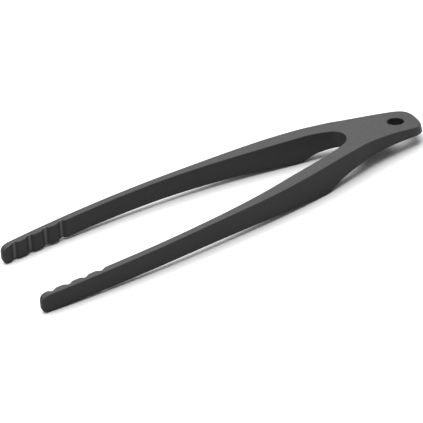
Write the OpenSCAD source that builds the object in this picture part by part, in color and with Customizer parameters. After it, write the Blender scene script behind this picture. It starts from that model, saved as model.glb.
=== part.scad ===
/* [Overall] */
// Length from the tips to the end of the hanging tab
tool_length = 311; // [290:1:340]
// Width over the two arms where they bow out most, at rest
open_width = 98.4; // [84:0.2:112]
// Height of the hand grip over its belly
belly_height = 21; // [18:0.1:24]

/* [Arms] */
// Thickness of an arm behind its teeth, seen from above
arm_thickness = 6.9; // [6.5:0.1:8.5]
// Thickness of an arm where the hand squeezes it, seen from above
grip_thickness = 13.6; // [12.6:0.1:15]
// Thickness of an arm at its tip, seen from above
tip_thickness = 7; // [6.6:0.1:8]
// Height of an arm at its tip
tip_height = 12.8; // [11.5:0.1:14]
// Radius of the tip's corners, seen from the side
tip_corner = 4.4; // [2:0.1:5]
// Radius of the tip's corners, seen from above
tip_edge = 2; // [0.6:0.1:2.2]
// How high the underside of an arm arches off the table
arch_rise = 3.45; // [2:0.05:4.5]

/* [Teeth] */
// Number of grooves across each gripping face
groove_count = 4; // [2:1:4]
// Distance from one groove to the next
groove_pitch = 12.4; // [10:0.1:13]
// Distance from the tip to the middle of the first groove
groove_start = 9.4; // [8:0.1:11]
// Width of a groove at the gripping face
groove_width = 6.4; // [4:0.1:7]
// Width of a groove at its bottom
groove_floor = 1.6; // [1:0.1:2.5]
// Depth of a groove
groove_depth = 2.4; // [1:0.1:2.6]
// How far the grooves lean back towards the hand, in degrees
groove_lean = 9; // [0:1:12]

/* [Fork and tab] */
// Radius of the bottom of the fork
fork_radius = 14; // [12:0.1:15]
// Distance from the tab's end to the bottom of the fork
fork_depth = 55; // [51:0.5:59]
// Width of the tab across the hanging hole
tab_width = 35.2; // [32:0.1:38]
// Thickness of the tab at its end
tab_end_thickness = 5.7; // [5.4:0.1:7]
// Length of the tab's rounded end
tab_end_round = 14; // [8:0.5:15]
// Diameter of the hanging hole
hole_diameter = 12.2; // [10:0.1:13]
// Distance from the tab's end to the middle of the hanging hole
hole_setback = 16; // [14:0.1:18]

/* [Spring, cores and rivets] */
// Thickness of the spring strip
strip_thickness = 1.2; // [0.8:0.1:1.5]
// Width of the spring strip, which stands on its edge
strip_width = 6; // [5:0.1:6.4]
// Distance from the bottom of the fork to the middle of the spring's bend
bend_setback = 6.5; // [5:0.1:8]
// Length of each leg of the spring inside its arm
leg_length = 56; // [50:1:60]
// Silicone between a core and the outside of an arm or the tab
skin = 2; // [1.6:0.1:2.2]
// Thickness of an arm core where it runs out behind the teeth
tongue_thickness = 1.4; // [1.2:0.1:1.6]
// Distance from the tip to the end of an arm core
tongue_start = 28; // [24:0.5:36]
// Distance from the flexing point to the other end of an arm core
core_setback = 14; // [12:0.5:18]
// Shank diameter of a rivet
rivet_diameter = 3; // [2:0.1:3.4]
// Head diameter of a rivet
rivet_head = 5; // [4:0.1:5.4]
// Thickness of a rivet's head
rivet_head_thickness = 1; // [0.8:0.1:1.2]
// Depth of the recess that each rivet head sits in
rivet_recess = 1.5; // [1.2:0.1:2]
// Length of the shank that holds the spring to the tab core
tab_rivet_length = 10; // [6:0.5:12]
// How deep that rivet's head is set into the inside of the spring's bend
rivet_seat = 0.3; // [0.2:0.05:0.4]

/* [Flexing point] */
// Distance from the tab's end to the point that each arm flexes about
flex_setback = 71; // [67:0.5:75]
// Radius of the round end that divides an arm from the yoke
knuckle_radius = 9.5; // [8.6:0.1:10.5]
// Gap between an arm's round end and its seat in the yoke
knuckle_gap = 0.3; // [0.3:0.05:0.5]

/* [Hidden] */
$fn = 96;

// A station is a distance from the tips, measured along the tool. The curves
// below were drawn for a tool of the drawn sizes, and each one stretches with
// the driving dimension that it belongs to.
drawn_length = 311;
drawn_half_width = 49.2;
drawn_belly_height = 21;
drawn_tip_height = 12.8;
drawn_arch_rise = 3.45;
drawn_tab_end = 5.7;
belly_at = 222;
stretch = tool_length / drawn_length;
spread = open_width / 2 / drawn_half_width;
lift = belly_height / drawn_belly_height;
reach = 2 * tool_length;
silicone_grey = [0.24, 0.24, 0.245];
nylon_black = [0.16, 0.16, 0.17];
steel_grey = [0.75, 0.76, 0.78];
rivet_grey = [0.72, 0.73, 0.75];

// A smooth curve through [station, value] points, read at one station
function last_before(points, s, i = 0) =
    i >= len(points) - 2 || points[i + 1][0] > s ? i : last_before(points, s, i + 1);
function slope(points, i) =
    let (a = max(i - 1, 0), b = min(i + 1, len(points) - 1))
    (points[b][1] - points[a][1]) / (points[b][0] - points[a][0]);
function cubic(t, run, from, to, from_slope, to_slope) =
    from * (2 * t ^ 3 - 3 * t ^ 2 + 1) + to * (3 * t ^ 2 - 2 * t ^ 3)
    + from_slope * run * (t ^ 3 - 2 * t ^ 2 + t) + to_slope * run * (t ^ 3 - t ^ 2);
function smooth(points, s) =
    let (i = last_before(points, s), run = points[i + 1][0] - points[i][0])
    cubic(
        (s - points[i][0]) / run, run, points[i][1], points[i + 1][1],
        slope(points, i), slope(points, i + 1)
    );
function ease(s, from, to) =
    let (t = max(0, min(1, (s - from) / (to - from)))) t * t * (3 - 2 * t);

// Outside of the arms and of the tab, as a distance from the middle plane. The
// tab's is what it has over its width at the hanging hole.
arm_outside = [
    [0, 46.6], [30, 48.4], [70, 49.2], [110, 48.1], [150, 45.3], [180, 42.7],
    [205, 39], [230, 33.3], [250, 27.1]
];
tab_outside = [[230, 15.6], [250, 9.8], [265, 4.9], [280, 1.9], [295, 0], [311, -1]];
arm_line_end = 250;
tab_line_start = 230;
outside_blend = [225, 262];
function side(s) =
    let (
        u = s / stretch,
        share = ease(u, outside_blend[0], outside_blend[1]),
        arm = spread * smooth(arm_outside, min(u, arm_line_end)),
        tab = tab_width / 2 + smooth(tab_outside, max(u, tab_line_start))
    )
    (1 - share) * arm + share * tab;
function corner(s, r) = s < r ? r - sqrt(r * r - (r - s) * (r - s)) : 0;

// Thickness of an arm, which swells from its teeth to the hand grip
thickness_points = [
    [0, tip_thickness], [20, tip_thickness + 0.1], [60, arm_thickness + 0.3], [85, arm_thickness],
    [105, arm_thickness], [125, arm_thickness + 0.3],
    [150, 0.8 * arm_thickness + 0.2 * grip_thickness],
    [180, 0.38 * arm_thickness + 0.62 * grip_thickness],
    [200, 0.09 * arm_thickness + 0.91 * grip_thickness],
    [215, grip_thickness], [240, grip_thickness]
];
function thickness(s) = smooth(thickness_points, s / stretch);
function plain_inside(s) = side(s) - thickness(s);

// Inside of an arm, which runs into the round bottom of the fork
fork_turn = 60;
fork_approach = 6;
fork_bottom = tool_length - fork_depth;
fork_centre = fork_bottom - fork_radius;
fork_meet = fork_centre + fork_radius * cos(fork_turn);
flex_station = tool_length - flex_setback;
inside_end = flex_station - fork_approach;
inside_run = fork_meet - inside_end;
function inside(s) =
    s <= inside_end ? plain_inside(s) + corner(s, tip_edge)
    : cubic(
        (s - inside_end) / inside_run, inside_run, plain_inside(inside_end),
        fork_radius * sin(fork_turn), plain_inside(inside_end) - plain_inside(inside_end - 1),
        -cos(fork_turn) / sin(fork_turn)
    );

// Middle of an arm, seen from above
function arm_middle(s) = side(s) - thickness(s) / 2;

// Top and underside, as heights above the table
top_points = [
    [0, 0], [60, 2.8], [120, 5], [180, 6.4], [215, 7.6], [240, 8.2],
    [262, 7.5], [280, 5.6], [296, 3], [311, -0.4]
];
grip_at = 200;
function top(s) =
    let (u = s / stretch, arch = drawn_tip_height + smooth(top_points, u))
    arch * (1 + (lift - 1) * ease(u, 0, grip_at))
    + (tip_height - drawn_tip_height) * (1 - ease(u, 0, grip_at));
underside_points = [
    [0, -0.5], [4, 0], [60, 2.1], [120, 3.45], [165, 3.2], [190, 2.45], [206, 1.55],
    [216, 0.3], [222, 0], [226, 0.5], [230, 2], [236, 4.5], [245, 6.3], [255, 7.8],
    [268, 8.6], [282, 8.8], [296, 8.2], [311, 6.8]
];
function underside(s) =
    let (u = s / stretch, tab_share = ease(u, belly_at, drawn_length - hole_setback))
    smooth(underside_points, u) * (u < belly_at ? arch_rise / drawn_arch_rise : 1)
    + tab_share * (lift - 1) * (drawn_tip_height + smooth(top_points, u))
    - ease(u, arm_line_end, drawn_length) * (tab_end_thickness - drawn_tab_end);

// The tab's rounded end, half of a squared-off oval
squareness = 3.2;
function tab_end(inset) = [
    for (a = [0:turn_step:90])
        let (s = tool_length - inset - (tab_end_round - inset) * (1 - sin(a) ^ (2 / squareness)))
        [s, (side(s) - inset) * cos(a) ^ (2 / squareness)]
];

// Stations that the outlines are drawn at
tip_stations = [0, 0.15, 0.5, 1, tip_edge];
spacing = 6;
turn_step = 6;
function mirrored(points) = [for (p = points) [p[0], -p[1]]];
function backwards(points) = [for (i = [len(points) - 1:-1:0]) points[i]];
function raised(points, z) = [for (p = points) [p[0], p[1] + z]];
outer_line = concat(
    [for (s = tip_stations) [s, side(s) - corner(s, tip_edge)]],
    [for (s = [spacing:spacing:tool_length - tab_end_round - 2]) [s, side(s)]],
    tab_end(0)
);
inner_line = concat(
    [for (s = tip_stations) [s, inside(s)]],
    [for (s = [spacing:spacing:inside_end - 2]) [s, inside(s)]],
    [for (i = [0:4]) let (s = inside_end + inside_run * i / 5) [s, inside(s)]],
    [for (a = [fork_turn:-turn_step:0]) fork_radius * [cos(a), sin(a)] + [fork_centre, 0]]
);
end_turn = [0:15:90];
drawn_profile_stations = concat(
    [for (u = [8.7:8:204]) u], [for (u = [208.7:2:240]) u], [for (u = [246.7:spacing:308]) u]
);
profile_stations = drawn_profile_stations * stretch;
top_line = concat(
    [for (a = end_turn) tip_corner * [1 - cos(a), sin(a) - 1] + [0, top(tip_corner)]],
    [for (s = profile_stations) [s, top(s)]],
    [[tool_length, top(tool_length)]]
);
underside_line = concat(
    [for (a = end_turn) tip_corner * [1 - cos(a), 1 - sin(a)] + [0, underside(tip_corner)]],
    [for (s = profile_stations) [s, underside(s)]],
    [[tool_length, underside(tool_length)]]
);

// Extrudes an outline that is seen from the side across the whole tool
module across() {
    translate([0, reach / 2, 0])
        rotate([90, 0, 0])
            linear_extrude(height = reach)
                children();
}

// The whole outside of the tool, with its tips at the origin
module tool_shape() {
    intersection() {
        linear_extrude(height = 2 * belly_height)
            polygon(concat(
                outer_line, backwards(mirrored(outer_line)), mirrored(inner_line), backwards(inner_line)
            ));
        across()
            polygon(concat(top_line, backwards(underside_line)));
    }
}

// Everything that belongs to the left arm, and its round end
flex_side = arm_middle(flex_station);
module knuckle(r) {
    translate([flex_station, flex_side, -1])
        cylinder(r = r, h = 2 * belly_height);
}
module left_arm_space() {
    translate([-1, 0, -1])
        cube([flex_station + 1, reach, 2 * belly_height]);
    knuckle(knuckle_radius);
}
module yoke_space() {
    difference() {
        translate([flex_station, -reach / 2, -1])
            cube([reach, reach, 2 * belly_height]);
        knuckle(knuckle_radius + knuckle_gap);
        mirror([0, 1, 0])
            knuckle(knuckle_radius + knuckle_gap);
    }
}

// Grooves across the gripping face of the left arm: straight channels with
// sloping flanks and a flat bottom, leaning back at the top
groove_stations = [for (i = [0:groove_count - 1]) groove_start + i * groove_pitch];
groove_flank = (groove_width - groove_floor) / 2 / groove_depth;
groove_section = [
    [-groove_width / 2 - groove_flank, -1], [groove_width / 2 + groove_flank, -1],
    [groove_floor / 2, groove_depth], [-groove_floor / 2, groove_depth]
];
tooth_end = groove_stations[groove_count - 1] + groove_width / 2;
module left_grooves() {
    for (s = groove_stations)
        translate([s, plain_inside(s), tip_height / 2])
            rotate([0, groove_lean, 0])
                linear_extrude(height = 2 * belly_height, center = true)
                    polygon(groove_section);
}

// The spring strip: a round bend behind the fork, and a straight leg on each
// side that runs into it by the length of the weld
weld = 0.05;
leg_end = flex_station - leg_length;
leg_angle = atan2(arm_middle(leg_end) - flex_side, leg_length);
bend_apex = fork_bottom + bend_setback;
bend_radius =
    (flex_side * cos(leg_angle) + (flex_station - bend_apex) * sin(leg_angle)) / (1 - sin(leg_angle));
bend_centre = bend_apex - bend_radius;
leg_run = (bend_centre + bend_radius * sin(leg_angle) - leg_end) / cos(leg_angle);
function middle_height(s) = (top(s) + underside(s)) / 2;
strip_level = 0.7 * middle_height(bend_apex) + 0.3 * middle_height(leg_end);
module strip_leg() {
    translate([bend_centre, 0, strip_level - strip_width / 2])
        rotate([0, 0, -leg_angle])
            translate([-leg_run, bend_radius - strip_thickness / 2, 0])
                cube([leg_run + weld, strip_thickness, strip_width]);
}
module strip_bend() {
    translate([bend_centre, 0, strip_level - strip_width / 2])
        intersection() {
            difference() {
                cylinder(r = bend_radius + strip_thickness / 2, h = strip_width);
                translate([0, 0, -1])
                    cylinder(r = bend_radius - strip_thickness / 2, h = strip_width + 2);
            }
            linear_extrude(height = strip_width)
                polygon([
                    [0, 0], reach * [sin(leg_angle), cos(leg_angle)], [2 * reach, 0],
                    reach * [sin(leg_angle), -cos(leg_angle)]
                ]);
        }
}
module strip() {
    difference() {
        union() {
            strip_bend();
            strip_leg();
            mirror([0, 1, 0])
                strip_leg();
        }
        tab_rivet_body();
        arm_rivet_shanks();
        mirror([0, 1, 0])
            arm_rivet_shanks();
    }
}

// Rivets: two across each arm, and one through the middle of the spring's bend
rivet_places = [8, 30];
rivet_half = grip_thickness / 2 - skin - rivet_recess;
module at_arm_rivets() {
    for (place = rivet_places)
        translate([bend_centre, 0, strip_level])
            rotate([0, 0, -leg_angle])
                translate([place - leg_run, bend_radius, 0])
                    rotate([90, 0, 0])
                        children();
}
module arm_rivet_shanks() {
    at_arm_rivets()
        cylinder(d = rivet_diameter, h = 2 * rivet_half, center = true);
}
module arm_rivet_heads(length) {
    at_arm_rivets()
        for (end = [0, 1])
            mirror([0, 0, end])
                translate([0, 0, rivet_half - rivet_head_thickness])
                    cylinder(d = rivet_head, h = length);
}
module arm_rivets() {
    color(rivet_grey)
        union() {
            arm_rivet_shanks();
            arm_rivet_heads(rivet_head_thickness);
        }
}
module tab_rivet_body() {
    translate([bend_apex - strip_thickness / 2 + rivet_seat, 0, strip_level])
        rotate([0, 90, 0])
            union() {
                cylinder(d = rivet_diameter, h = tab_rivet_length);
                translate([0, 0, -rivet_head_thickness])
                    cylinder(d = rivet_head, h = rivet_head_thickness);
            }
}

// Arm core: a moulded bar inside the arm that runs out to a thin tongue
core_end = flex_station - core_setback;
core_steps = 32;
core_stations = [for (i = [0:core_steps]) tongue_start + (core_end - tongue_start) * i / core_steps];
tongue_run = 30;
function core_thickness(s) =
    tongue_thickness
    + (max(thickness(s) - 2 * skin, tongue_thickness) - tongue_thickness)
        * ease(s, tooth_end, tooth_end + tongue_run);
core_outer = [for (s = core_stations) [s, side(s) - skin]];
core_inner = [for (s = core_stations) [s, side(s) - skin - core_thickness(s)]];
module core_heights() {
    across()
        polygon(concat(raised(top_line, -skin), backwards(raised(underside_line, skin))));
}
module left_core() {
    color(nylon_black)
        difference() {
            intersection() {
                linear_extrude(height = 2 * belly_height)
                    polygon(concat(core_outer, backwards(core_inner)));
                core_heights();
            }
            strip_leg();
            arm_rivet_shanks();
            arm_rivet_heads(reach);
        }
}

// Tab core: a moulded plate that saddles the spring's bend, with a clearance
// hole so that silicone lines the hanging hole
hole_station = tool_length - hole_setback;
tab_core_start = fork_bottom + skin;
tab_core_run = tool_length - tab_end_round - 1 - tab_core_start;
tab_core_line = concat(
    [for (i = [0:7]) let (s = tab_core_start + tab_core_run * i / 8) [s, side(s) - skin]],
    tab_end(skin)
);
module tab_plate() {
    color(nylon_black)
        difference() {
            intersection() {
                linear_extrude(height = 2 * belly_height)
                    polygon(concat(tab_core_line, backwards(mirrored(tab_core_line))));
                core_heights();
            }
            translate([bend_centre, 0, 0])
                cylinder(r = bend_radius + strip_thickness / 2, h = 2 * belly_height);
            hang_hole(hole_diameter + 2 * skin);
            tab_rivet_body();
        }
}
module hang_hole(d) {
    translate([hole_station, 0, -1])
        cylinder(d = d, h = 2 * belly_height);
}

// The left arm's silicone, moulded round its core, its rivets and its leg
module left_arm_silicone() {
    color(silicone_grey)
        difference() {
            intersection() {
                tool_shape();
                left_arm_space();
            }
            left_arm_insides();
            left_grooves();
        }
}
module left_arm_insides() {
    union() {
        left_core();
        arm_rivets();
        left_leg();
    }
}
module left_leg() {
    color(steel_grey)
        intersection() {
            strip();
            left_arm_space();
        }
}

// Carries a shape from its stations to the middle of the tool
module place() {
    translate([-tool_length / 2, 0, 0])
        children();
}
module opposite() {
    mirror([0, 1, 0])
        children();
}

module yoke_cover() {
    place()
        color(silicone_grey)
            difference() {
                intersection() {
                    tool_shape();
                    yoke_space();
                }
                yoke_insides();
                hang_hole(hole_diameter);
            }
}
module yoke_insides() {
    union() {
        tab_plate();
        bend();
        tab_rivet_body();
    }
}
module bend() {
    color(steel_grey)
        intersection() {
            strip();
            yoke_space();
        }
}
module left_arm_cover() { place() left_arm_silicone(); }
module right_arm_cover() { place() opposite() left_arm_silicone(); }
module spring_bend() { place() bend(); }
module left_spring_leg() { place() left_leg(); }
module right_spring_leg() { place() opposite() left_leg(); }
module left_arm_core() { place() left_core(); }
module right_arm_core() { place() opposite() left_core(); }
module tab_core() { place() tab_plate(); }
module left_arm_rivets() { place() arm_rivets(); }
module right_arm_rivets() { place() opposite() arm_rivets(); }
module tab_rivet() { place() color(rivet_grey) tab_rivet_body(); }

yoke_cover();
left_arm_cover();
right_arm_cover();
spring_bend();
left_spring_leg();
right_spring_leg();
left_arm_core();
right_arm_core();
tab_core();
left_arm_rivets();
right_arm_rivets();
tab_rivet();
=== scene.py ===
import math

import bpy
import numpy as np
from mathutils import Matrix, Vector


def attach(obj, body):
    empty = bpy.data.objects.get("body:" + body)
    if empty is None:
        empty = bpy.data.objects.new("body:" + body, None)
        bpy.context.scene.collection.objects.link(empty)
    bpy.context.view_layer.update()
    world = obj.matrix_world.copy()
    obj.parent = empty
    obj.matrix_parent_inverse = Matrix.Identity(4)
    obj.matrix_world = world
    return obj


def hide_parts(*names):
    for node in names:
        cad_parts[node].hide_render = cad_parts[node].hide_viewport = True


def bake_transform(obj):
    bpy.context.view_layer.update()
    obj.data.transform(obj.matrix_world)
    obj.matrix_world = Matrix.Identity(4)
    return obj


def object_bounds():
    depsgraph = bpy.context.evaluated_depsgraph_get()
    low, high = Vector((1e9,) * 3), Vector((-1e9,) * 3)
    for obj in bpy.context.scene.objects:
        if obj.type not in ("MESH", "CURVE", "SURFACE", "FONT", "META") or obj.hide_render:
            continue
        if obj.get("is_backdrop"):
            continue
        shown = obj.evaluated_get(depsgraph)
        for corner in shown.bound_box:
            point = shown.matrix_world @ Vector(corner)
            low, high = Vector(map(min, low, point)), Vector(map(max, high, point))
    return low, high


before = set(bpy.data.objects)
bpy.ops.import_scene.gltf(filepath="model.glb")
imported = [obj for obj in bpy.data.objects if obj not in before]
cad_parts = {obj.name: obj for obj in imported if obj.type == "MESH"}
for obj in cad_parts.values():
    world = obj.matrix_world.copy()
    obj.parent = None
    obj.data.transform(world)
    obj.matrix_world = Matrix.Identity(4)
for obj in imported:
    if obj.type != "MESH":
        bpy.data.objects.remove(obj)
cad_low, cad_high = (Vector(corner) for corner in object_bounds())

# ---------------------------------------------------------------------------
# Spring strip. One length of cold-rolled stainless spring steel, blanked to
# width, punched for its rivets and bent into a U that stands on its edge.
# It is what pushes the arms apart.

MM = 0.001


def new_finish(name):
    """A new material, its nodes and its main shader."""
    material = bpy.data.materials.new(name)
    material.use_nodes = True
    return material, material.node_tree, material.node_tree.nodes["Principled BSDF"]


def add(tree, kind, **sockets):
    """Adds a node. Each socket is given another node's output or a value of its own."""
    node = tree.nodes.new(kind)
    for name, source in sockets.items():
        socket = node.inputs[name.replace("_", " ")]
        if isinstance(source, bpy.types.NodeSocket):
            tree.links.new(source, socket)
        else:
            socket.default_value = source
    return node


def grain(tree, spacing, stretch=(1, 1, 1), detail=3.0):
    """Noise with its lumps about that far apart, drawn out along the piece's own axes."""
    where = add(tree, "ShaderNodeTexCoord").outputs["Object"]
    drawn = add(tree, "ShaderNodeMapping", Vector=where, Scale=stretch).outputs["Vector"]
    return add(tree, "ShaderNodeTexNoise", Vector=drawn, Scale=1 / spacing, Detail=detail).outputs["Fac"]


def shades(tree, source, low, high, start=0.35, end=0.65):
    """Turns noise into shades that run from low to high. A single number is a grey."""
    ramp = add(tree, "ShaderNodeValToRGB", Fac=source)
    for element, place, shade in zip(ramp.color_ramp.elements, (start, end), (low, high)):
        element.position = place
        element.color = (*shade, 1) if isinstance(shade, tuple) else (shade, shade, shade, 1)
    return ramp.outputs["Color"]


def relief(tree, shader, *layers):
    """Stacks bumps, coarse to fine. Each layer is some noise and how high it stands."""
    normal = None
    for noise, height in layers:
        bump = add(tree, "ShaderNodeBump", Height=noise, Distance=height)
        if normal is not None:
            tree.links.new(normal, bump.inputs["Normal"])
        normal = bump.outputs["Normal"]
    tree.links.new(normal, shader.inputs["Normal"])


def rolled_steel():
    material, tree, shader = new_finish("rolled_spring_steel")
    rolling = grain(tree, 0.25 * MM, stretch=(0.04, 0.04, 1), detail=5)
    tint = shades(tree, grain(tree, 9 * MM), (0.50, 0.49, 0.47), (0.60, 0.60, 0.59))
    tree.links.new(tint, shader.inputs["Base Color"])
    tree.links.new(shades(tree, rolling, 0.24, 0.42), shader.inputs["Roughness"])
    relief(tree, shader, (rolling, 0.004 * MM))
    shader.inputs["Metallic"].default_value = 1
    return material


def finish(material, *nodes):
    """Gives solid pieces their finish in place of the plain one they came with."""
    for node in nodes:
        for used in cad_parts[node].material_slots:
            used.material = material


finish(rolled_steel(), "spring_bend", "left_spring_leg", "right_spring_leg")

# ---------------------------------------------------------------------------
# Stiffening cores. Two bars and a plate, injection-moulded in black nylon
# with a third of short glass fibre, which shows as pale flecks along the
# flow. The bars stiffen the arms and the plate stiffens the hanging tab.


def glass_filled_nylon():
    material, tree, shader = new_finish("glass_filled_nylon")
    flow = grain(tree, 1.1 * MM, stretch=(0.35, 1, 1))
    flecks = grain(tree, 0.22 * MM, stretch=(0.25, 1, 1), detail=2)
    tree.links.new(shades(tree, flecks, 0.016, 0.055, 0.55, 0.78), shader.inputs["Base Color"])
    tree.links.new(shades(tree, flow, 0.38, 0.56), shader.inputs["Roughness"])
    relief(tree, shader, (flow, 0.02 * MM), (flecks, 0.008 * MM))
    return material


finish(glass_filled_nylon(), "left_arm_core", "right_arm_core", "tab_core")

# ---------------------------------------------------------------------------
# Rivets. Five cold-headed stainless rivets, tumbled smooth. Two clamp each
# leg of the spring inside its bar, and one holds the bend to the tab plate.


def tumbled_steel():
    material, tree, shader = new_finish("tumbled_rivet_steel")
    dents = grain(tree, 0.5 * MM, detail=4)
    tree.links.new(shades(tree, dents, 0.55, 0.66), shader.inputs["Base Color"])
    tree.links.new(shades(tree, dents, 0.28, 0.40), shader.inputs["Roughness"])
    relief(tree, shader, (dents, 0.01 * MM))
    shader.inputs["Metallic"].default_value = 1
    return material


finish(tumbled_steel(), "left_arm_rivets", "right_arm_rivets", "tab_rivet")

# ---------------------------------------------------------------------------
# Silicone cover. A thick skin of dark grey food-grade silicone, moulded round
# the riveted skeleton in a blasted tool, so it is matt and softly rounded.
# It is drawn as one surface here, and parted behind the two flexing points.

# The arms and the tab, as distances from the middle of the tool, how thick the
# arms are, and how high they arch: all in millimetres, at stations that are
# measured from the tips.
TOOL_END = (cad_high.x - cad_low.x) / MM
ARM_OUTSIDE = [
    (0, 46.6), (30, 48.4), (70, 49.2), (110, 48.1), (150, 45.3), (180, 42.7),
    (205, 39), (230, 33.3), (250, 27.1),
]
TAB_OUTSIDE = [(230, 33.2), (250, 27.4), (265, 22.5), (280, 19.5), (295, 17.6), (311, 16.6)]
THICKNESS = [
    (0, 7), (20, 7.1), (60, 7.2), (85, 6.9), (105, 6.9), (125, 7.2), (150, 8.24),
    (180, 11.05), (200, 13), (215, 13.6), (240, 13.6),
]
TOP = [
    (0, 12.8), (60, 15.6), (120, 17.8), (180, 19.2), (215, 20.4), (240, 21),
    (262, 20.3), (280, 18.4), (296, 15.8), (311, 12.4),
]
UNDERSIDE = [
    (0, -0.5), (4, 0), (60, 2.1), (120, 3.45), (165, 3.2), (190, 2.45), (206, 1.55),
    (216, 0.3), (222, 0), (226, 0.5), (230, 2), (236, 4.5), (245, 6.3), (255, 7.8),
    (268, 8.6), (282, 8.8), (296, 8.2), (311, 6.8),
]


def bend_between(t, run, start, end, start_slope, end_slope):
    """A smooth bend from start to end, t going from 0 to 1 along the run."""
    return (
        start * (2 * t**3 - 3 * t**2 + 1)
        + end * (3 * t**2 - 2 * t**3)
        + start_slope * run * (t**3 - 2 * t**2 + t)
        + end_slope * run * (t**3 - t**2)
    )


def smooth(points):
    """A smooth curve through (station, value) points."""
    at, value = np.array(points, float).T
    before = np.maximum(np.arange(len(at)) - 1, 0)
    after = np.minimum(np.arange(len(at)) + 1, len(at) - 1)
    slope = (value[after] - value[before]) / (at[after] - at[before])

    def read(station):
        i = np.clip(np.searchsorted(at, station, side="right") - 1, 0, len(at) - 2)
        run = at[i + 1] - at[i]
        return bend_between((station - at[i]) / run, run, value[i], value[i + 1], slope[i], slope[i + 1])

    return read


arm_outside, tab_outside = smooth(ARM_OUTSIDE), smooth(TAB_OUTSIDE)
thickness, arch_top, arch_underside = smooth(THICKNESS), smooth(TOP), smooth(UNDERSIDE)
LAST_ARM, FIRST_TAB, LAST_THICKNESS = ARM_OUTSIDE[-1][0], TAB_OUTSIDE[0][0], THICKNESS[-1][0]
TAB_BLEND_START, TAB_BLEND_RUN = 225, 37


def outside(station):
    """The arm's outside, which runs on into the side of the tab."""
    t = np.clip((station - TAB_BLEND_START) / TAB_BLEND_RUN, 0, 1)
    share = t * t * (3 - 2 * t)
    arm = arm_outside(np.minimum(station, LAST_ARM))
    return (1 - share) * arm + share * tab_outside(np.maximum(station, FIRST_TAB))


def jaw(station):
    """The arm's inside, as far as the fork."""
    return outside(station) - thickness(np.minimum(station, LAST_THICKNESS))


# The round bottom of the fork, and the bend that takes each jaw into it
FORK_DEPTH, FORK_RADIUS, FORK_TURN, JAW_END = 55.0, 14.0, math.radians(60), 234.0
FORK_BOTTOM = TOOL_END - FORK_DEPTH
FORK_CENTRE = FORK_BOTTOM - FORK_RADIUS
FORK_MEET = FORK_CENTRE + FORK_RADIUS * math.cos(FORK_TURN)


def inside(station):
    """The whole inside of the arm, bending into the round of the fork."""
    run = FORK_MEET - JAW_END
    t = np.clip((station - JAW_END) / run, 0, 1)
    fork_side = FORK_RADIUS * math.sin(FORK_TURN)
    jaw_slope, fork_slope = jaw(JAW_END) - jaw(JAW_END - 1), -1 / math.tan(FORK_TURN)
    into_fork = bend_between(t, run, jaw(JAW_END), fork_side, jaw_slope, fork_slope)
    return np.where(station < JAW_END, jaw(station), into_fork)


# Every edge is rounded: so far into the face, and so far down the side
EDGE_IN, EDGE_DOWN, HOLE_IN, HOLE_DOWN = 0.7, 0.6, 0.5, 0.4
HOLE_SETBACK, HOLE_RADIUS = 16, 6.1
HOLE_AT = TOOL_END - HOLE_SETBACK
TAB_ROUND, SQUARENESS = 14.0, 3.2

# The tips have larger corners: two seen from above, and two seen from the side
TIP_OUTER, TIP_INNER, TIP_UNDER = 2.4, 3.2, 5.0
TIP_TOP_RUN, TIP_TOP_DROP = 7.5, 4.4


def nose(station, radius):
    """How far a round corner falls back from square."""
    left = np.clip(radius - station, 0, radius)
    return radius - np.sqrt(radius**2 - left**2)


def top(station):
    return arch_top(station) - nose(station, TIP_TOP_RUN) * TIP_TOP_DROP / TIP_TOP_RUN


def underside(station):
    return arch_underside(station) + nose(station, TIP_UNDER)


# Four grooves across each jaw. They have sloping flanks and a narrow floor,
# and soft corners. They lean back towards the hand, and so does the tip's end,
# which crosses its own station at a height of TIP_FOOT.
GROOVES, PITCH, FIRST_GROOVE, LEAN = 4, 12.4, 9.4, math.tan(math.radians(9))
GROOVE_WIDTH, GROOVE_FLOOR, GROOVE_DEPTH, GROOVE_SOFTNESS = 6.6, 1.4, 2.4, 0.26
TEETH_END = FIRST_GROOVE + PITCH * (GROOVES - 1) + GROOVE_WIDTH
JAW_MIDDLE = top(0.5 * TEETH_END) / 2
TIP_LEANS_OVER, TIP_FOOT = 9.0, 10.0


def leaned(station, height):
    """Where a point goes as the tip's end leans back."""
    return station + LEAN * (height - TIP_FOOT) * np.clip(1 - station / TIP_LEANS_OVER, 0, 1)


def groove_share(station, height):
    """How deep the jaw is cut at a station and a height: 0 between grooves, 1 on a groove's floor."""
    along = station - FIRST_GROOVE - LEAN * (height - JAW_MIDDLE)
    turn = np.clip(np.round(along / PITCH), 0, GROOVES - 1)
    off_middle = np.abs(along - turn * PITCH)
    rise = (GROOVE_WIDTH / 2 - off_middle) / (GROOVE_WIDTH / 2 - GROOVE_FLOOR / 2)
    soft = GROOVE_SOFTNESS / 2
    opened = soft * np.logaddexp(0, rise / soft)
    return 1 - soft * np.logaddexp(0, (1 - opened) / soft)


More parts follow.
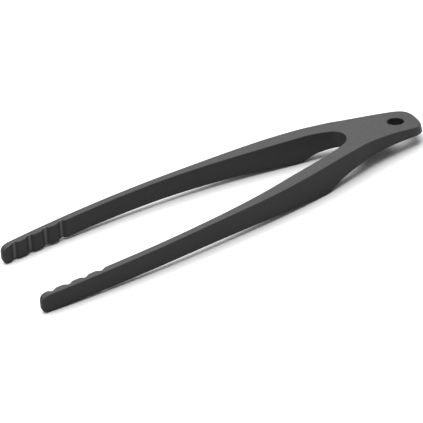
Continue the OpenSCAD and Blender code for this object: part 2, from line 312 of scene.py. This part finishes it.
# One half of the outline from above, as the ends of the rungs of a ladder. A
# rung goes from the inside of the arm, the fork, the middle line or the hole
# to the outside of the arm or the tab. The rungs are close where the grooves are.
TOOTH_STEP, ARM_STEP = 0.45, 2.3
tip_turn = np.radians(np.linspace(0, 90, 10))
stations = np.concatenate([
    TIP_INNER * (1 - np.cos(tip_turn)),
    np.arange(TIP_INNER + 0.4, TEETH_END, TOOTH_STEP),
    np.arange(TEETH_END + 0.5, JAW_END - 1, ARM_STEP),
    np.linspace(JAW_END, FORK_MEET, 9),
])
fork_turn = np.linspace(FORK_TURN, 0, 13)[1:]
hole_turn = np.radians(np.linspace(180, 0, 25))
middle = np.linspace(FORK_BOTTOM + EDGE_IN, HOLE_AT - HOLE_RADIUS - HOLE_IN, 15)[1:-1]
near_edge = np.concatenate([
    np.column_stack([stations, inside(stations) + nose(stations, TIP_INNER)]),
    np.column_stack([FORK_CENTRE + FORK_RADIUS * np.cos(fork_turn), FORK_RADIUS * np.sin(fork_turn)]),
    np.column_stack([middle, 0 * middle]),
    np.column_stack([HOLE_AT + HOLE_RADIUS * np.cos(hole_turn), HOLE_RADIUS * np.sin(hole_turn)]),
])
fork_rung = len(stations) + len(fork_turn) - 1
hole_rung = fork_rung + len(middle) + 1
rungs = len(near_edge)

# The tab's side and its end, half of a squared-off oval. The rungs share out
# its length: so many millimetres of it lie beside the fork, and so many more
# before the hole.
BESIDE_FORK, BEFORE_HOLE, TAB_STEP = 15, 25, 0.25
side_line = np.arange(FORK_MEET, TOOL_END - TAB_ROUND, TAB_STEP)
end_turn = np.radians(np.linspace(0, 90, 181))
end_line = TOOL_END - TAB_ROUND * (1 - np.sin(end_turn) ** (2 / SQUARENESS))
tab_line = np.concatenate([
    np.column_stack([side_line, outside(side_line)]),
    np.column_stack([end_line, outside(end_line) * np.cos(end_turn) ** (2 / SQUARENESS)]),
])
walked = np.concatenate([[0], np.cumsum(np.hypot(*np.diff(tab_line, axis=0).T))])
shared_out = np.interp(
    np.arange(len(stations) - 1, rungs),
    [len(stations) - 1, fork_rung, hole_rung, rungs - 1],
    [0, BESIDE_FORK, BESIDE_FORK + BEFORE_HOLE, walked[-1]],
)
tab_edge = np.column_stack([np.interp(shared_out, walked, tab_line[:, i]) for i in (0, 1)])
far_edge = np.concatenate([
    np.column_stack([stations, outside(stations) - nose(stations, TIP_OUTER)])[:-1], tab_edge,
])

# The outline in order: along the inside to the tip, across it, and back along
# the outside. Beside it go the number of each point's rung and the way inwards.
ACROSS = 10
across_tip = np.linspace(near_edge[0], far_edge[0], ACROSS + 1)
outline = np.concatenate([near_edge[fork_rung::-1], across_tip[1:-1], far_edge])
outline_rungs = np.concatenate([np.arange(fork_rung, -1, -1), np.zeros(ACROSS - 1, int), np.arange(rungs)])


def inwards(line, start, end):
    """The way into the silicone, on the right of the line. Start and end are the ways at its ends."""
    step = np.diff(line, axis=0)
    step /= np.linalg.norm(step, axis=1)[:, None]
    way = np.vstack([[0, 0], step]) + np.vstack([step, [0, 0]])
    way = np.column_stack([way[:, 1], -way[:, 0]])
    way[0], way[-1] = start, end
    return way / np.linalg.norm(way, axis=1)[:, None]


def rim(line, way, into, down, cut, wall_steps=8, turn_steps=6):
    """Points from the top face, over the rounded edge, down the side and onto the underside.

    Each knows how worn it is, and how far a groove may cut into it.
    """
    turn = np.radians(np.linspace(0, 90, turn_steps))
    offset, drop = into * (1 - np.sin(turn)), down * (1 - np.cos(turn))
    rounded = line[:, None] + way[:, None] * offset[None, :, None]
    above = top(rounded[:, :, 0]) - drop
    below = underside(rounded[:, :, 0]) + drop
    share = np.linspace(0, 1, wall_steps + 1)[1:-1]
    wall = above[:, -1:] * (1 - share) + below[:, -1:] * share
    flat = np.repeat(line[:, None], wall_steps - 1, axis=1)
    worn = np.tile(np.sin(2 * turn) ** 2, (len(line), 1))
    around = np.concatenate([
        np.dstack([rounded, above, worn]), np.dstack([flat, wall, 0 * wall]),
        np.dstack([rounded, below, worn])[:, ::-1],
    ], axis=1)
    return np.dstack([around, np.tile(cut[:, None], (1, around.shape[1]))])


# The grooves cut the whole of the inside, and fade out across the tip
cut_share = np.concatenate([np.ones(fork_rung + 1), np.linspace(1, 0, ACROSS + 1)[1:-1], np.zeros(rungs)])
outer_rim = rim(outline, inwards(outline, (1, 0), (-1, 0)), EDGE_IN, EDGE_DOWN, cut_share)
hole_line = near_edge[:hole_rung - 1:-1]
hole_rim = rim(hole_line, inwards(hole_line, (1, 0), (-1, 0)), HOLE_IN, HOLE_DOWN, np.zeros(len(hole_line)))
hole_rungs = np.arange(rungs - 1, hole_rung - 1, -1)

# The two faces, between the first and the last ring of the rims
far_start = fork_rung + ACROSS
middle_top = np.column_stack([middle, 0 * middle, top(middle), 0 * middle, 0 * middle])
middle_under = np.column_stack([middle, 0 * middle, underside(middle), 0 * middle, 0 * middle])


def face(ring, middle_points, level):
    """The top face or the underside, with its rungs laid at their level."""
    near = np.concatenate([outer_rim[fork_rung::-1, ring], middle_points, hole_rim[::-1, ring]])
    far = outer_rim[far_start:, ring]
    share = np.linspace(0, 1, ACROSS + 1)[None, :, None]
    laid = near[:, None] * (1 - share) + far[:, None] * share
    laid[:, 1:-1, 2] = level(laid[:, 1:-1, 0])
    laid[0, 1:-1] = outer_rim[fork_rung + 1:far_start, ring]
    return laid


top_face, under_face = face(0, middle_top, top), face(-1, middle_under, underside)

# The ladder's patches are welded with their mirror images into one surface.
# Each patch of it knows its rung, so that it can be parted again.
points, quads, quad_rungs, quad_halves = [], [], [], []
numbered = {}


def lay(name, grid, rung_numbers, turned=False):
    """Lays a grid of points as quads, on the left half and mirrored on the right."""
    rows, columns = grid.shape[:2]
    grid = grid.copy()
    grid[:, :, 4] *= groove_share(grid[:, :, 0], grid[:, :, 2])
    grid[:, :, 1] += GROOVE_DEPTH * grid[:, :, 4]
    grid[:, :, 0] = leaned(grid[:, :, 0], grid[:, :, 2])
    for half in (1, -1):
        start = sum(len(laid) for laid in points)
        number = start + np.arange(rows * columns).reshape(rows, columns)
        points.append(grid.reshape(-1, 5) * (1, half, 1, 1, 1))
        corners = np.dstack([number[:-1, :-1], number[1:, :-1], number[1:, 1:], number[:-1, 1:]])
        corners = corners.reshape(-1, 4)
        quads.append(corners[:, ::-1] if turned == (half == 1) else corners)
        rung = np.minimum(rung_numbers[:-1], rung_numbers[1:])
        quad_rungs.append(np.repeat(rung, columns - 1))
        quad_halves.append(np.full(len(corners), half))
        numbered[name, half] = number


lay("top", top_face, np.arange(rungs))
lay("under", under_face, np.arange(rungs), turned=True)
lay("outer rim", outer_rim, outline_rungs)
lay("hole rim", hole_rim, hole_rungs)
points, quads = np.concatenate(points), np.concatenate(quads)
quad_rungs, quad_halves = np.concatenate(quad_rungs), np.concatenate(quad_halves)

# Points that round to the same place become one. Adding zero drops minus signs from zeros.
rounded = np.round(points[:, :3], 5) + 0.0
_, first, welded = np.unique(rounded, axis=0, return_index=True, return_inverse=True)
welded = welded.reshape(-1)
points, quads = points[first], welded[quads]
numbered = {key: welded[number] for key, number in numbered.items()}
points[:, 0] -= TOOL_END / 2
points[:, :3] *= MM

# Each point faces the way that the quads round it face, the larger ones counting for more
corner_a, corner_b, corner_c, corner_d = (points[quads[:, corner], :3] for corner in range(4))
facing = np.cross(corner_c - corner_a, corner_d - corner_b)
normals = np.zeros((len(points), 3))
for corner in range(4):
    np.add.at(normals, quads[:, corner], facing)
normals /= np.linalg.norm(normals, axis=1)[:, None]

# The skin is parted at a rung where nothing flexes, and each cut end is closed.
SEAM_STATION = 252
SEAM = int(np.argmax(near_edge[:, 0] > SEAM_STATION))


def cut_end(half):
    """The points round the cut across one arm."""
    far = far_start + SEAM
    rim_points = numbered["outer rim", half]
    return np.concatenate([
        numbered["top", half][SEAM], rim_points[far, 1:],
        numbered["under", half][SEAM, -2::-1], rim_points[fork_rung - SEAM, -2:0:-1],
    ])


def skin(name, chosen, ends):
    """One piece of the skin: the chosen quads, and its cut ends closed with a fan."""
    middles = np.array([points[end].mean(axis=0) for end, _ in ends])
    every = np.concatenate([points, middles])
    faces = quads[chosen].tolist()
    for number, (end, backwards) in enumerate(ends):
        ring = end[::-1] if backwards else end
        centre = len(points) + number
        faces += [[a, b, centre] for a, b in zip(ring, np.roll(ring, -1))]
    used, corners = np.unique(np.concatenate(faces), return_inverse=True)
    corners = corners.reshape(-1)
    starts = np.cumsum([0] + [len(f) for f in faces])
    mesh = bpy.data.meshes.new(name)
    mesh.from_pydata(
        every[used, :3].tolist(), [], [corners[a:b].tolist() for a, b in zip(starts[:-1], starts[1:])]
    )
    mesh.validate()
    mesh.shade_smooth()
    all_normals = np.concatenate([normals, np.zeros((len(middles), 3))])[used]
    loop_normals = all_normals[corners]
    first_cap = 4 * chosen.sum()
    for polygon in mesh.polygons:
        if polygon.loop_start >= first_cap:
            polygon.use_smooth = False
            loop_normals[polygon.loop_start:polygon.loop_start + polygon.loop_total] = polygon.normal
    mesh.normals_split_custom_set(loop_normals.tolist())
    for column, name_of_measure in ((3, "wear"), (4, "groove")):
        measure = mesh.attributes.new(name_of_measure, "FLOAT", "POINT")
        measure.data.foreach_set("value", every[used, column].astype(np.float32))
    piece = bpy.data.objects.new(name, mesh)
    bpy.context.scene.collection.objects.link(piece)
    return piece


def measured(tree, name):
    """A measure that the mesh carries from point to point."""
    node = add(tree, "ShaderNodeAttribute")
    node.attribute_name = name
    return node.outputs["Fac"]


def laid_over(tree, under, grey, share):
    """A grey laid over a colour, as thickly as share says."""
    mix = add(tree, "ShaderNodeMix")
    mix.data_type = "RGBA"
    tree.links.new(share, mix.inputs["Factor"])
    tree.links.new(under, mix.inputs["A"])
    mix.inputs["B"].default_value = (grey, grey, grey, 1)
    return mix.outputs["Result"]


# The silicone is dark grey, rubbed paler along its edges, with a little lint on
# it. The floors of the grooves carry a painted highlight: a pale grey painted where they catch light.
DARK_SILICONE, PALE_SILICONE = (0.0180, 0.0180, 0.0181), (0.0196, 0.0196, 0.0197)
RUBBED_GREY, GROOVE_HIGHLIGHT_GREY, LINT_GREY = 0.058, 0.078, 0.095


def matt_silicone():
    material, tree, shader = new_finish("matt_grey_silicone")
    clouds = grain(tree, 14 * MM, stretch=(0.4, 1, 1))
    handling = grain(tree, 3.5 * MM, detail=5)
    ripple = grain(tree, 1.7 * MM)
    blasting = grain(tree, 0.28 * MM, detail=4)
    lint = grain(tree, 0.35 * MM, stretch=(0.5, 1, 1), detail=1)
    rubbed = add(tree, "ShaderNodeMath", Value=measured(tree, "wear"))
    rubbed.operation = "MULTIPLY"
    tree.links.new(shades(tree, handling, 0.05, 0.35), rubbed.inputs[1])
    # Painted highlight: the deeper a point lies in a groove, the paler it is painted
    painted_groove_highlight = shades(tree, measured(tree, "groove"), 0.0, 1.0, 0.72, 0.92)
    dusted = shades(tree, lint, 0.0, 0.18, 0.70, 0.80)
    colour = shades(tree, clouds, DARK_SILICONE, PALE_SILICONE)
    colour = laid_over(tree, colour, RUBBED_GREY, rubbed.outputs["Value"])
    # The painted highlight is laid over the groove floors
    colour = laid_over(tree, colour, GROOVE_HIGHLIGHT_GREY, painted_groove_highlight)
    colour = laid_over(tree, colour, LINT_GREY, dusted)
    tree.links.new(colour, shader.inputs["Base Color"])
    tree.links.new(shades(tree, handling, 0.48, 0.53), shader.inputs["Roughness"])
    relief(tree, shader, (ripple, 0.012 * MM), (blasting, 0.006 * MM))
    shader.inputs["Specular IOR Level"].default_value = 0.25
    shader.inputs["Sheen Weight"].default_value = 0.03
    shader.inputs["Sheen Roughness"].default_value = 0.4
    return material


silicone = matt_silicone()
in_arm = quad_rungs < SEAM
left_skin = skin("left_arm_skin", in_arm & (quad_halves == 1), [(cut_end(1), False)])
right_skin = skin("right_arm_skin", in_arm & (quad_halves == -1), [(cut_end(-1), True)])
yoke_skin = skin("yoke_skin", ~in_arm, [(cut_end(1), True), (cut_end(-1), False)])
for piece in (left_skin, right_skin, yoke_skin):
    piece.data.materials.append(silicone)

# Each arm's skin stays where it is drawn, in place of that arm's cover, and the
# yoke's skin moves with the yoke.
for piece, arm, cover in (
    (left_skin, "left_arm", "left_arm_cover"),
    (right_skin, "right_arm", "right_arm_cover"),
):
    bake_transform(piece)
    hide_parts(cover, "yoke_cover")
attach(yoke_skin, "yoke")
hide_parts("yoke_cover")

# ---------------------------------------------------------------------------
# Table. A plain sheet of pale board, wide enough to fill the view, which the
# tongs lie on with their tips and their bellies.

TABLE_HALF, TABLE_GAP = 9.0, 0.1 * MM


def pale_board():
    material, tree, shader = new_finish("pale_board")
    tree.links.new(shades(tree, grain(tree, 0.6), 0.87, 0.90), shader.inputs["Base Color"])
    shader.inputs["Roughness"].default_value = 0.9
    shader.inputs["Specular IOR Level"].default_value = 0.1
    return material


board = bpy.data.meshes.new("table")
board_corners = ((-1, -1), (1, -1), (1, 1), (-1, 1))
board_points = [(x * TABLE_HALF, y * TABLE_HALF, -TABLE_GAP) for x, y in board_corners]
board.from_pydata(board_points, [], [(0, 1, 2, 3)])
table = bpy.data.objects.new("table", board)
table.data.materials.append(pale_board())
bpy.context.scene.collection.objects.link(table)
table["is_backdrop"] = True

# ---------------------------------------------------------------------------
# Light. One broad softbox overhead, a weaker one behind the tongs that gives
# the top faces a little sheen, and a white room all round.


ROOM_LIGHT = 0.32


def softbox(name, place, width, height, power):
    """A softbox of so many watts, that size in metres, turned towards the tongs."""
    light = bpy.data.lights.new(name, "AREA")
    light.shape = "RECTANGLE"
    light.size, light.size_y, light.energy = width, height, power
    lamp = bpy.data.objects.new(name, light)
    lamp.location = place
    lamp.rotation_euler = (-Vector(place)).to_track_quat("-Z", "Y").to_euler()
    bpy.context.scene.collection.objects.link(lamp)


softbox("overhead_softbox", place=(0.0, 0.6, 2.1), width=4.0, height=3.6, power=122)
softbox("back_softbox", place=(0.3, 1.8, 1.1), width=2.4, height=1.2, power=17)
room = bpy.data.worlds.new("room")
room.use_nodes = True
room.node_tree.nodes["Background"].inputs["Color"].default_value = (1, 1, 1, 1)
room.node_tree.nodes["Background"].inputs["Strength"].default_value = ROOM_LIGHT
bpy.context.scene.world = room
bpy.context.scene.view_settings.view_transform = "Standard"

# ---------------------------------------------------------------------------
# Camera. It stands three and a half metres off on the side of the right arm,
# nearer the tips, with a long lens. It is rolled, so that the tab rises to the
# right. Places are in metres, and the lens and its sensor in millimetres.

STAND, LOOK = Vector((-0.77741, -3.05289, 1.71059)), Vector((-0.01168, -0.01048, 0.00777))
ROLL, LENS, SENSOR = math.radians(14.465), 427.63, 36.0

lens = bpy.data.cameras.new("camera")
lens.lens, lens.sensor_width, lens.clip_end = LENS, SENSOR, 50
camera = bpy.data.objects.new("camera", lens)
aimed = (LOOK - STAND).to_track_quat("-Z", "Y").to_matrix()
camera.matrix_world = Matrix.Translation(STAND) @ (aimed @ Matrix.Rotation(-ROLL, 3, "Z")).to_4x4()
bpy.context.scene.collection.objects.link(camera)
bpy.context.scene.camera = camera
